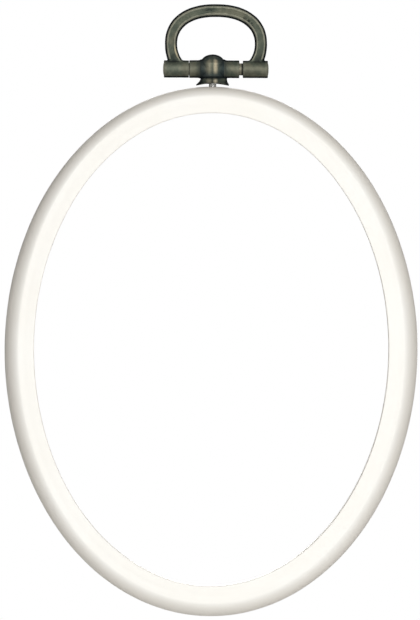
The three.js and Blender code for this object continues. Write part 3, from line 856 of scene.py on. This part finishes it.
class Shade:
    """A material under construction, with short calls for the nodes that all of them use."""

    def __init__(self, name):
        self.material = bpy.data.materials.new(name)
        self.material.use_nodes = True
        self.tree = self.material.node_tree
        self.shader = self.tree.nodes["Principled BSDF"]
        coordinates = self.add("ShaderNodeTexCoord", {})
        self.place = coordinates.outputs["Object"]
        self.facing = coordinates.outputs["Normal"]

    def add(self, kind, inputs, **settings):
        """A node with its settings, and its inputs as values or links."""
        made = self.tree.nodes.new(kind)
        for name, value in settings.items():
            setattr(made, name, value)
        for socket, value in inputs.items():
            if isinstance(value, bpy.types.NodeSocket):
                self.tree.links.new(value, made.inputs[socket])
            else:
                made.inputs[socket].default_value = value
        return made

    def noise(self, size, detail=3.0, roughness=0.55, stretch=(1, 1, 1)):
        """Noise from 0 to 1 with features of about a size in millimetres."""
        place = self.add("ShaderNodeMapping", {"Vector": self.place, "Scale": stretch}).outputs["Vector"]
        inputs = {"Vector": place, "Scale": 1 / (size * MM), "Detail": detail, "Roughness": roughness}
        return self.add("ShaderNodeTexNoise", inputs).outputs["Fac"]

    def ramp(self, value, limits, results=(0.0, 1.0)):
        """Maps a value between two limits smoothly onto two results."""
        inputs = {"Value": value, "From Min": limits[0], "From Max": limits[1]}
        inputs |= {"To Min": results[0], "To Max": results[1]}
        return self.add("ShaderNodeMapRange", inputs, interpolation_type="SMOOTHSTEP").outputs["Result"]

    def length_ramp(self, value, limits, results=(0.0, 1.0)):
        """A ramp of a length, with its limits in millimetres."""
        return self.ramp(value, [limit * MM for limit in limits], results)

    def maths(self, operation, first, second):
        return self.add("ShaderNodeMath", {0: first, 1: second}, operation=operation).outputs["Value"]

    def product(self, first, *others):
        """All the values multiplied."""
        for other in others:
            first = self.maths("MULTIPLY", first, other)
        return first

    def mix(self, factor, first, second):
        """A colour between two, which are links or plain colours."""
        inputs = {MIX_FACTOR: factor}
        for socket, colour in zip(MIX_COLOURS, (first, second)):
            inputs[socket] = (*colour, 1) if isinstance(colour, tuple) else colour
        return self.add("ShaderNodeMix", inputs, data_type="RGBA").outputs[MIXED_COLOUR]

    def blend(self, factor, first, second):
        """A number between two."""
        inputs = {MIX_FACTOR: factor, **dict(zip(MIX_NUMBERS, (first, second)))}
        return self.add("ShaderNodeMix", inputs, data_type="FLOAT").outputs[MIXED_NUMBER]

    def openness(self, distance):
        """1 in the open and near 0 in narrow places, over a distance in millimetres."""
        inputs = {"Distance": distance * MM}
        return self.add("ShaderNodeAmbientOcclusion", inputs, samples=OPENNESS_SAMPLES).outputs["AO"]

    def facing_share(self, axis):
        """How squarely a surface faces along an axis of the piece, either way, from 0 to 1."""
        split = self.add("ShaderNodeSeparateXYZ", {"Vector": self.facing})
        return self.maths("ABSOLUTE", split.outputs[axis], 0.0)

    def coordinate(self, axis):
        """A coordinate of the place, in metres."""
        return self.add("ShaderNodeSeparateXYZ", {"Vector": self.place}).outputs[axis]

    def distance(self, first, second):
        """How far away two lengths at right angles reach."""
        flat = self.add("ShaderNodeCombineXYZ", {"X": first, "Y": second}).outputs["Vector"]
        return self.add("ShaderNodeVectorMath", {0: flat}, operation="LENGTH").outputs["Value"]

    def band(self, axis, centre, half_width):
        """1 on a plane across an axis and 0 beyond a half width from it, both in millimetres."""
        away = self.maths("ABSOLUTE", self.maths("SUBTRACT", self.coordinate(axis), centre * MM), 0.0)
        return self.length_ramp(away, (0, half_width), (1, 0))

    def near(self, centre, radius):
        """1 at a place in millimetres and 0 beyond a radius round it."""
        inputs = {0: self.place, 1: tuple(value * MM for value in centre)}
        away = self.add("ShaderNodeVectorMath", inputs, operation="DISTANCE").outputs["Value"]
        return self.length_ramp(away, (0, radius), (1, 0))

    def set(self, socket, value):
        """Links a value to one of the shader's inputs, or sets it there if it is a constant."""
        if isinstance(value, bpy.types.NodeSocket):
            self.tree.links.new(value, self.shader.inputs[socket])
        else:
            self.shader.inputs[socket].default_value = value

    def bump(self, height, distance):
        """Small relief of a depth in millimetres."""
        inputs = {"Height": height, "Distance": distance * MM}
        self.set("Normal", self.add("ShaderNodeBump", inputs).outputs["Normal"])


def cream_vinyl():
    """Smooth soft vinyl: cream, with painted warm shade on its sides and in tight corners, and a faint
    orange peel.
    """
    shade = Shade("cream_vinyl")
    tone = shade.mix(shade.ramp(shade.noise(size=24, detail=2), NOISE_MIDDLE), *VINYL_TONES)
    # Painted shade: the vinyl turns warmer and darker where it faces sideways
    tone = shade.mix(shade.ramp(shade.facing_share("Y"), VINYL_FACING), VINYL_SIDE_SHADE, tone)
    # Painted shade: places closed in within half a millimetre turn dark and warm
    open_place = shade.ramp(shade.openness(0.5), (0.2, 0.7))
    shade.set("Base Color", shade.mix(open_place, VINYL_CORNER_SHADE, tone))
    shade.set("Roughness", shade.ramp(shade.noise(size=7), NOISE_WIDE, (0.5, 0.6)))
    shade.set("Specular IOR Level", 0.12)
    peel = shade.noise(size=0.9, detail=2)
    grain = shade.product(shade.noise(size=0.17, detail=2), 0.35)
    shade.bump(shade.maths("ADD", peel, grain), 0.012)
    return shade.material


def ivory_plastic():
    """Hard moulded plastic, a little darker and glossier than the vinyl, with fine tool marks round it."""
    shade = Shade("ivory_plastic")
    patches = shade.ramp(shade.noise(size=14, detail=2), NOISE_MIDDLE)
    shade.set("Base Color", shade.mix(patches, *IVORY_TONES))
    shade.set("Roughness", shade.ramp(shade.noise(size=4), NOISE_WIDE, (0.32, 0.42)))
    shade.set("Specular IOR Level", 0.4)
    marks = shade.noise(size=0.5, detail=2, roughness=0.5, stretch=(0.2, 4, 0.2))
    shade.bump(shade.maths("ADD", marks, shade.noise(size=1.2, detail=2)), 0.008)
    return shade.material


class Bronze(Shade):
    """Antique bronze under construction, with the shares that its patina and its painted shade follow."""

    def __init__(self, name):
        super().__init__(name)
        self.relief = self.add("ShaderNodeAttribute", {}, attribute_name="relief").outputs["Fac"]
        self.clouds = self.noise(size=2.2, detail=4, roughness=0.6)
        self.fine = self.noise(size=0.35, detail=4, roughness=0.65)
        from_middle = self.maths("SUBTRACT", self.coordinate("X"), BOSS_MIDDLE_X * MM)
        self.away = self.maths("ABSOLUTE", from_middle, 0.0)
        self.height = self.maths("SUBTRACT", self.coordinate("Z"), HINGE_Z * MM)
        self.on_bar = self.bar_share()
        # Painted shade: near black where a surface turns from front and back towards its sides
        self.front = self.front_share()
        # Painted shade on the boss, round like a ball's, and on the barrel beside it
        self.painted_lightness = self.painted_lightness_share()

    def bar_share(self):
        """1 on the loop's bar and arms, and 0 on the hanger and the knuckles."""
        arms = self.product(self.length_ramp(self.height, ARM_FOOT), self.length_ramp(self.away, ARM_SIDE))
        return self.maths("MAXIMUM", arms, self.length_ramp(self.height, BAR_FOOT))

    def front_share(self):
        """1 on what faces front or back, 0 on slopes, which take painted shade, and about a half on the
        sides, in patches.
        """
        facing = self.facing_share("Y")
        front = self.blend(self.on_bar, self.ramp(facing, HANGER_FACING), self.ramp(facing, BAR_FACING))
        side = self.ramp(facing, SIDE_FACING, (0.75, 0.0))
        patches = self.ramp(self.clouds, (0.3, 0.6), (0.6, 1.0))
        return self.maths("MAXIMUM", front, self.product(side, patches))

    def painted_lightness_share(self):
        """Painted shade: how much of its lightness the patina keeps, falling like a ball's shading towards
        the boss's edges, and beside the boss.
        """
        middle = BOSS_MIDDLE_HEIGHT * MM
        above = self.product(self.maths("SUBTRACT", self.height, middle), BOSS_UPPER_SHARE)
        upright = self.maths("MAXIMUM", above, self.maths("SUBTRACT", middle, self.height))
        boss = self.length_ramp(self.distance(self.away, upright), BOSS_FADE, BOSS_PAINTED_LIGHTNESS)
        barrel_painted_lightness = self.length_ramp(self.away, BARREL_FADE, BARREL_PAINTED_LIGHTNESS)
        across = self.blend(self.length_ramp(self.away, BOSS_EDGE), boss, barrel_painted_lightness)
        neck = self.length_ramp(self.height, NECK_TOP, (1.0, 0.0))
        hanger_painted_lightness = self.blend(neck, across, NECK_PAINTED_LIGHTNESS)
        return self.blend(self.length_ramp(self.height, BAR_FOOT), hanger_painted_lightness, 1.0)

    def olive(self):
        """The patina: dark and pale olive in clouds with patches of brown, under painted shade that is near
        black on slopes and dark blue-green towards the boss's edges.
        """
        dark, pale = (self.mix(self.on_bar, *tones) for tones in zip(HANGER_OLIVES, BAR_OLIVES))
        olive = self.mix(self.ramp(self.clouds, NOISE_MIDDLE), dark, pale)
        brown = self.ramp(self.noise(size=4.5, detail=2), (0.44, 0.62), (0.0, 0.4))
        olive = self.mix(brown, olive, BROWN_PATINA)
        # Painted shade: near black on slopes, and dark blue-green towards the boss's edges and beside it
        return self.mix(self.front, BLACK_PATINA_AND_SHADE, self.mix(self.painted_lightness, BOSS_EDGE_SHADE, olive))

    def blacken(self, patina):
        """Turns it black in hollows, at the loop's roots, in the crown's smudge and where it is corroded."""
        open_place = self.ramp(self.openness(0.9), (0.4, 0.95))
        hollow = self.product(self.ramp(self.relief, HOLLOW_RELIEF, (0.3, 1.0)), open_place)
        patina = self.mix(hollow, BLACK_PATINA_AND_SHADE, patina)
        roots = self.maths("ADD", self.near(*LEFT_ROOT), self.near(*RIGHT_ROOT))
        scratches = self.noise(size=0.45, detail=4, roughness=0.7, stretch=(0.35, 1, 1))
        scratches = self.ramp(scratches, (0.42, 0.62), (0.0, 0.75))
        blotches = self.ramp(self.noise(size=0.5, detail=3, roughness=0.6), (0.4, 0.52), (0.15, 1.0))
        corroded = self.ramp(self.near(*CORRODED_SPOT), (0.1, 0.6))
        spots = ((roots, ROOT_DARKNESS), (self.near(*CROWN_SMUDGE), scratches), (corroded, blotches))
        for spot, strength in spots:
            patina = self.mix(self.product(spot, strength), patina, BLACK_PATINA_AND_SHADE)
        return patina

    def polish(self, patina):
        """Rubs it lighter on ridges, which also paints their highlights, and most at a spot low on the left
        arm.
        """
        cloudy = self.ramp(self.clouds, (0.35, 0.75), (-0.3, 0.2))
        ridge = self.maths("ADD", self.ramp(self.relief, RIDGE_RELIEF), cloudy)
        grain = self.ramp(self.fine, (0.2, 0.6), (0.5, 1.0))
        strength = self.blend(self.on_bar, HANGER_RIDGE_STRENGTH, 1.0)
        ridge = self.product(self.ramp(ridge, (0.1, 1.0)), grain, strength, self.painted_lightness_on_front())
        # Rubbed wear and painted highlight on ridges that face front or back
        patina = self.mix(ridge, patina, RIDGE_WEAR_AND_HIGHLIGHT)
        rubbed = self.product(self.near(*RUBBED_SPOT), self.ramp(self.relief, RUBBED_RELIEF))
        return self.mix(self.product(rubbed, self.painted_lightness_on_front()), patina, RUBBED_BRONZE)

    def painted_lightness_on_front(self):
        """The lightness that the painted shade leaves on what faces front or back."""
        return self.product(self.front, self.painted_lightness)

    def stroke(self, patina):
        """Paints two highlight strokes down the front of boss and neck, the stronger one to the right of the
        seam.
        """
        right = self.band("X", RIGHT_STROKE_X, RIGHT_STROKE_HALF_WIDTH)
        left = self.product(self.band("X", LEFT_STROKE_X, LEFT_STROKE_HALF_WIDTH), LEFT_STROKE_STRENGTH)
        foot = self.length_ramp(self.height, STROKE_FOOT)
        boss = self.product(foot, self.length_ramp(self.height, STROKE_TOP, (1, 0)))
        neck = self.band("Z", HINGE_Z - NECK_STROKE_DROP, NECK_STROKE_HALF_HEIGHT)
        across, upright = self.maths("ADD", right, left), self.maths("ADD", boss, neck)
        front = self.length_ramp(self.coordinate("Y"), STROKE_FRONT_Y)
        patchiness = self.ramp(self.fine, (0.25, 0.6), (0.55, 1.0))
        # Painted highlight strokes, broken up by fine noise
        return self.mix(self.product(across, upright, front, patchiness), patina, self.mix(neck, *HIGHLIGHT_STROKE_TONES))


def aged_bronze():
    """Antique bronze: olive patina, near black in hollows, painted shade on slopes and round the boss,
    rubbed to tan metal on ridges that also get painted highlights, and painted highlight strokes on boss and
    neck.
    """
    shade = Bronze("aged_bronze")
    shade.set("Base Color", shade.stroke(shade.polish(shade.blacken(shade.olive()))))
    shade.set("Metallic", shade.product(shade.front, 0.5))
    shade.set("Roughness", shade.ramp(shade.front, (0, 1), (0.85, 0.55)))
    shade.set("Specular IOR Level", 0.04)
    pits = shade.ramp(shade.noise(size=0.28, detail=3, roughness=0.6), (0.3, 0.5))
    shade.bump(shade.maths("ADD", pits, shade.product(shade.fine, 0.6)), 0.02)
    return shade.material


def worn_bronze():
    """The pin: bronze rubbed by the turning hanger, with fine rings, and a painted shadow beside the right
    knuckle.
    """
    shade = Shade("worn_bronze")
    rings = shade.noise(size=0.12, detail=3, roughness=0.5, stretch=(1, 0.05, 0.05))
    streaks = shade.noise(size=0.8, detail=4, roughness=0.6, stretch=(1, 0.6, 0.6))
    tone = shade.mix(shade.ramp(streaks, (0.38, 0.6)), *PIN_TONES)
    # Painted shadow of the right knuckle across the pin
    knuckle_shadow = shade.band("X", LOOP_CENTRE_X + KNUCKLE_INSIDE, 0.8)
    shade.set("Base Color", shade.mix(knuckle_shadow, tone, PIN_KNUCKLE_SHADOW))
    shade.set("Metallic", 0.5)
    shade.set("Roughness", shade.ramp(rings, NOISE_WIDE, (0.5, 0.65)))
    shade.set("Specular IOR Level", 0.15)
    shade.bump(rings, 0.012)
    return shade.material


def plain_steel():
    """Turned steel with fine lathe rings and a dull film."""
    shade = Shade("plain_steel")
    film = shade.noise(size=1.1, detail=4, roughness=0.6)
    lathe = shade.noise(size=0.15, detail=2, roughness=0.5, stretch=(1, 1, 8))
    shade.set("Base Color", shade.mix(shade.ramp(film, NOISE_MIDDLE), *STEEL_TONES))
    shade.set("Metallic", 0.8)
    shade.set("Roughness", shade.ramp(film, NOISE_WIDE, (0.28, 0.42)))
    shade.bump(lathe, 0.01)
    return shade.material


def white_rays(tree):
    """1 on the rays that see the background: camera, glossy and transmission rays."""
    path = tree.nodes.new("ShaderNodeLightPath")
    total = path.outputs["Is Camera Ray"]
    for ray in ("Is Glossy Ray", "Is Transmission Ray"):
        larger = tree.nodes.new("ShaderNodeMath")
        larger.operation = "MAXIMUM"
        tree.links.new(total, larger.inputs[0])
        tree.links.new(path.outputs[ray], larger.inputs[1])
        total = larger.outputs["Value"]
    return total


def world(level, tint):
    """A white background, and an even light of a lower level and a slight tint on the object."""
    made = bpy.data.worlds.new("studio")
    bpy.context.scene.world = made
    made.use_nodes = True
    tree = made.node_tree
    background = tree.nodes["Background"]
    mixed = tree.nodes.new("ShaderNodeMix")
    mixed.data_type = "RGBA"
    lit, seen = MIX_COLOURS
    mixed.inputs[lit].default_value = (*(level * share for share in tint), 1)
    mixed.inputs[seen].default_value = WHITE
    tree.links.new(white_rays(tree), mixed.inputs[MIX_FACTOR])
    tree.links.new(mixed.outputs[MIXED_COLOUR], background.inputs["Color"])


def floor():
    """A round pale floor under the hanging part, which fades into the white background at its rim."""
    shaped = bmesh.new()
    bmesh.ops.create_circle(shaped, cap_ends=True, segments=FLOOR_SIDES, radius=FLOOR_RADIUS)
    mesh = bpy.data.meshes.new("floor")
    shaped.to_mesh(mesh)
    shaped.free()
    mesh.transform(Matrix.Translation((0, 0, HOOP_LOW.z * MM - FLOOR_DROP)))
    made = placed("floor", mesh)
    shade = Shade("floor")
    shade.set("Base Color", (*FLOOR_GREY, 1))
    shade.set("Roughness", 0.7)
    shade.set("Specular IOR Level", 0.1)
    away = shade.distance(shade.coordinate("X"), shade.coordinate("Y"))
    paler = shade.ramp(away, [share * FLOOR_RADIUS for share in FLOOR_FADE], FLOOR_WHITENESS)
    fade = shade.product(paler, white_rays(shade.tree))
    glow = shade.add("ShaderNodeEmission", {"Color": WHITE, "Strength": 1.0}).outputs["Emission"]
    inputs = {0: fade, 1: shade.shader.outputs["BSDF"], 2: glow}
    joined = shade.add("ShaderNodeMixShader", inputs).outputs["Shader"]
    shade.tree.links.new(joined, shade.tree.nodes["Material Output"].inputs["Surface"])
    mesh.materials.append(shade.material)


def lamp(name, azimuth, elevation, distance, size, power):
    """A square soft lamp that shines at the hoop from a direction. Its distance and size are in metres."""
    data = bpy.data.lights.new(name, "AREA")
    data.shape = "SQUARE"
    data.size = size
    data.energy = power
    made = placed(name, data)
    back = direction(azimuth, elevation)
    made.location = HOOP_CENTRE * MM + back * distance
    made.rotation_euler = (-back).to_track_quat("-Z", "Y").to_euler()


def direction(azimuth, elevation):
    """From the object towards a viewer, with azimuth 0 in front and 90 at the right, in degrees."""
    turn, rise = math.radians(azimuth), math.radians(elevation)
    return Vector((math.sin(turn) * math.cos(rise), -math.cos(turn) * math.cos(rise), math.sin(rise)))


def camera():
    """The photo's view: square on, from a little above and to the left, and leaning a little clockwise."""
    data = bpy.data.cameras.new("camera")
    data.sensor_width = SENSOR
    data.lens = SENSOR * CAMERA_DISTANCE / VIEW_HEIGHT
    made = placed("camera", data)
    back = direction(CAMERA_AZIMUTH, CAMERA_ELEVATION)
    target = HOOP_CENTRE * MM + Vector((VIEW_SHIFT, 0, VIEW_RISE))
    made.location = target + back * CAMERA_DISTANCE
    level = (-back).to_track_quat("-Z", "Y")
    roll = Euler((0, 0, math.radians(CAMERA_ROLL))).to_quaternion()
    made.rotation_euler = (level @ roll).to_euler()
    bpy.context.scene.camera = made


camera()
world(level=0.045, tint=(1.0, 0.93, 0.86))
floor()
lamp("key", azimuth=11.5, elevation=13, distance=1.2, size=0.6, power=9.15)
lamp("front", azimuth=-9, elevation=4, distance=1.5, size=0.8, power=6.8)
lamp("back", azimuth=180, elevation=20, distance=1.2, size=0.5, power=8)

bronze = aged_bronze()
steel = plain_steel()
outer_hoop(cream_vinyl())
inner_hoop(ivory_plastic())
hanger(bronze)
hanging_loop(bronze)
hinge_pin(worn_bronze())
hanger_screw(steel)
screw_washer(steel)

bpy.context.scene.view_settings.view_transform = "Standard"
